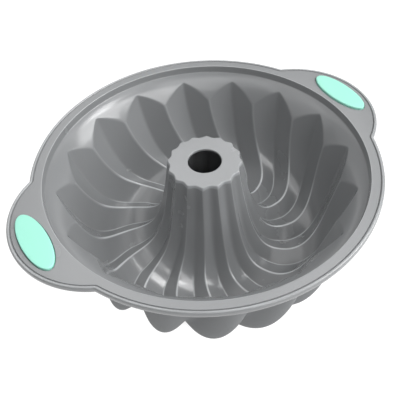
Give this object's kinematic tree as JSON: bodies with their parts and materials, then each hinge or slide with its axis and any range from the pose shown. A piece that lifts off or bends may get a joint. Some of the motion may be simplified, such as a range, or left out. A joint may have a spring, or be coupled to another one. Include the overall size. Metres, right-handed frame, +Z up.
{
  "type": "silicone fluted tube pan",
  "caption": "Soft ring cake pan with swirled flutes, a hollow scalloped centre tube, a flat flange stiffened by a steel ring, and two ears with oval grip pads.",
  "frame": {"origin": "on the table under the middle of the centre tube", "axes": "+Z up out of the mouth, X through the middles of both ears, Y across the pan"},
  "size_m": [0.2946, 0.2544, 0.0954],
  "materials": {
    "silicone": "satin grey silicone",
    "ring_steel": "drawn wire",
    "grip": "satin mint silicone"
  },
  "bodies": {
    "root": {"pan_body": "silicone", "reinforcing_ring": "ring_steel", "left_grip_pad": "grip", "right_grip_pad": "grip"}
  },
  "joints": []
}
